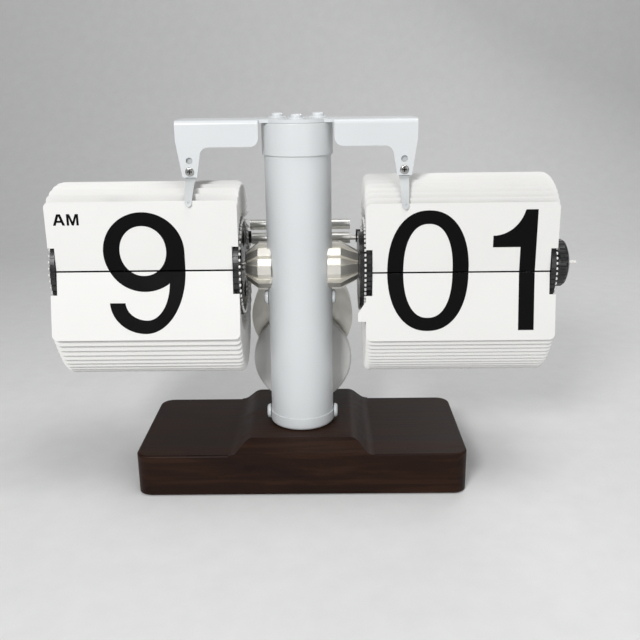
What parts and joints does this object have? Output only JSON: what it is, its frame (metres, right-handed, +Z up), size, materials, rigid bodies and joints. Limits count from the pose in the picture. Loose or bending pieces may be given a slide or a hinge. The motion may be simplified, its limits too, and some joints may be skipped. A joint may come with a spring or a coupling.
{
  "type": "flip number clock",
  "caption": "Desk clock that shows the time on two drums of hinged flip cards carried by a round column on a wooden base.",
  "frame": {"origin": "middle of the column on the plane that the clock stands on", "axes": "+X to the viewer's right along the drum axle, +Y to the back, +Z up"},
  "size_m": [0.3298, 0.0992, 0.2368],
  "materials": {
    "white_paint": "satin",
    "bright_steel": "satin",
    "satin_silver": "satin",
    "black_plastic": "gloss",
    "card_white": "satin",
    "brass_fittings": "satin",
    "dark_wood": "satin lacquer",
    "base_pad": "matte",
    "cell_jacket": "gloss",
    "board_green": "matte",
    "gear_plastic": "matte",
    "magnet": "matte"
  },
  "bodies": {
    "stand": {"axle_bushes": "brass_fittings", "base_felt": "base_pad", "battery": "cell_jacket", "column_ring_nut": "bright_steel", "column_side_screws": "white_paint", "column_tube": "white_paint", "contact_plug": "black_plastic", "control_board": "board_green", "finger_screws": "bright_steel", "gearbox_bolts": "bright_steel", "gearbox_case": "satin_silver", "gearbox_cover": "satin_silver", "gearbox_cover_screws": "bright_steel", "hour_cards_hanging": "card_white", "hour_cards_standing": "card_white", "hour_finger": "white_paint", "left_hub": "satin_silver", "lever_sleeve": "bright_steel", "lower_cap": "white_paint", "lower_cap_screws": "white_paint", "minute_cards_hanging": "card_white", "minute_cards_standing": "card_white", "minute_finger": "white_paint", "motor_can": "bright_steel", "motor_coil": "brass_fittings", "motor_cover": "white_paint", "rear_tie_rod": "bright_steel", "right_hub": "satin_silver", "top_bracket": "white_paint", "top_contact": "brass_fittings", "top_screws": "white_paint", "upper_cap": "white_paint", "wood_base": "dark_wood"},
    "minute_drum": {"minute_axle": "bright_steel", "minute_inner_disc": "black_plastic", "minute_outer_disc": "black_plastic", "minute_drum_core": "black_plastic", "carry_cam": "black_plastic", "setting_knob": "black_plastic"},
    "hour_drum": {"hour_axle": "bright_steel", "hour_inner_disc": "black_plastic", "hour_outer_disc": "black_plastic", "hour_drum_core": "black_plastic", "hour_axle_nut": "black_plastic"},
    "minute_card": {"minute_flip_card": "card_white"},
    "hour_card": {"hour_flip_card": "card_white"},
    "carry_lever": {"lever_shaft": "bright_steel", "cam_follower": "black_plastic", "hour_pawl": "black_plastic"},
    "gear_wheel": {"reduction_wheel": "gear_plastic", "wheel_arbor": "bright_steel"},
    "rotor": {"motor_rotor": "magnet", "rotor_shaft": "bright_steel", "motor_pinion": "gear_plastic"},
    "hatch": {"battery_hatch": "black_plastic", "contact_spring": "brass_fittings"}
  },
  "joints": [
    {"name": "minute_drum_turn", "type": "hinge", "parent": "stand", "child": "minute_drum", "pos_m": [0, 0, 0.142], "axis": [1, 0, 0], "continuous": true},
    {"name": "hour_drum_turn", "type": "hinge", "parent": "stand", "child": "hour_drum", "pos_m": [0, 0, 0.142], "axis": [1, 0, 0], "continuous": true},
    {"name": "minute_card_flip", "type": "hinge", "parent": "stand", "child": "minute_card", "pos_m": [0.0986, -0.02935, 0.14493], "axis": [1, 0, 0], "range_deg": [0, 169]},
    {"name": "hour_card_flip", "type": "hinge", "parent": "stand", "child": "hour_card", "pos_m": [-0.0934, -0.02891, 0.14788], "axis": [1, 0, 0], "range_deg": [0, 166]},
    {"name": "carry_lever_rock", "type": "hinge", "parent": "stand", "child": "carry_lever", "pos_m": [0, 0.031, 0.1535], "axis": [1, 0, 0], "range_deg": [-10, 0], "stiffness_Nm_per_rad": 0.002},
    {"name": "gear_wheel_turn", "type": "hinge", "parent": "stand", "child": "gear_wheel", "pos_m": [0, 0.045, 0.09462], "axis": [0, 1, 0], "continuous": true},
    {"name": "rotor_turn", "type": "hinge", "parent": "stand", "child": "rotor", "pos_m": [0, 0.045, 0.0704], "axis": [0, 1, 0], "continuous": true},
    {"name": "hatch_twist", "type": "hinge", "parent": "stand", "child": "hatch", "pos_m": [0, 0, 0], "axis": [0, 0, 1], "range_deg": [0, 60]}
  ],
  "couplings": [
    {"joint": "hour_drum_turn", "follows": "minute_drum_turn", "ratio": 0.020833},
    {"joint": "gear_wheel_turn", "follows": "minute_drum_turn", "ratio": 6},
    {"joint": "rotor_turn", "follows": "minute_drum_turn", "ratio": -24}
  ]
}
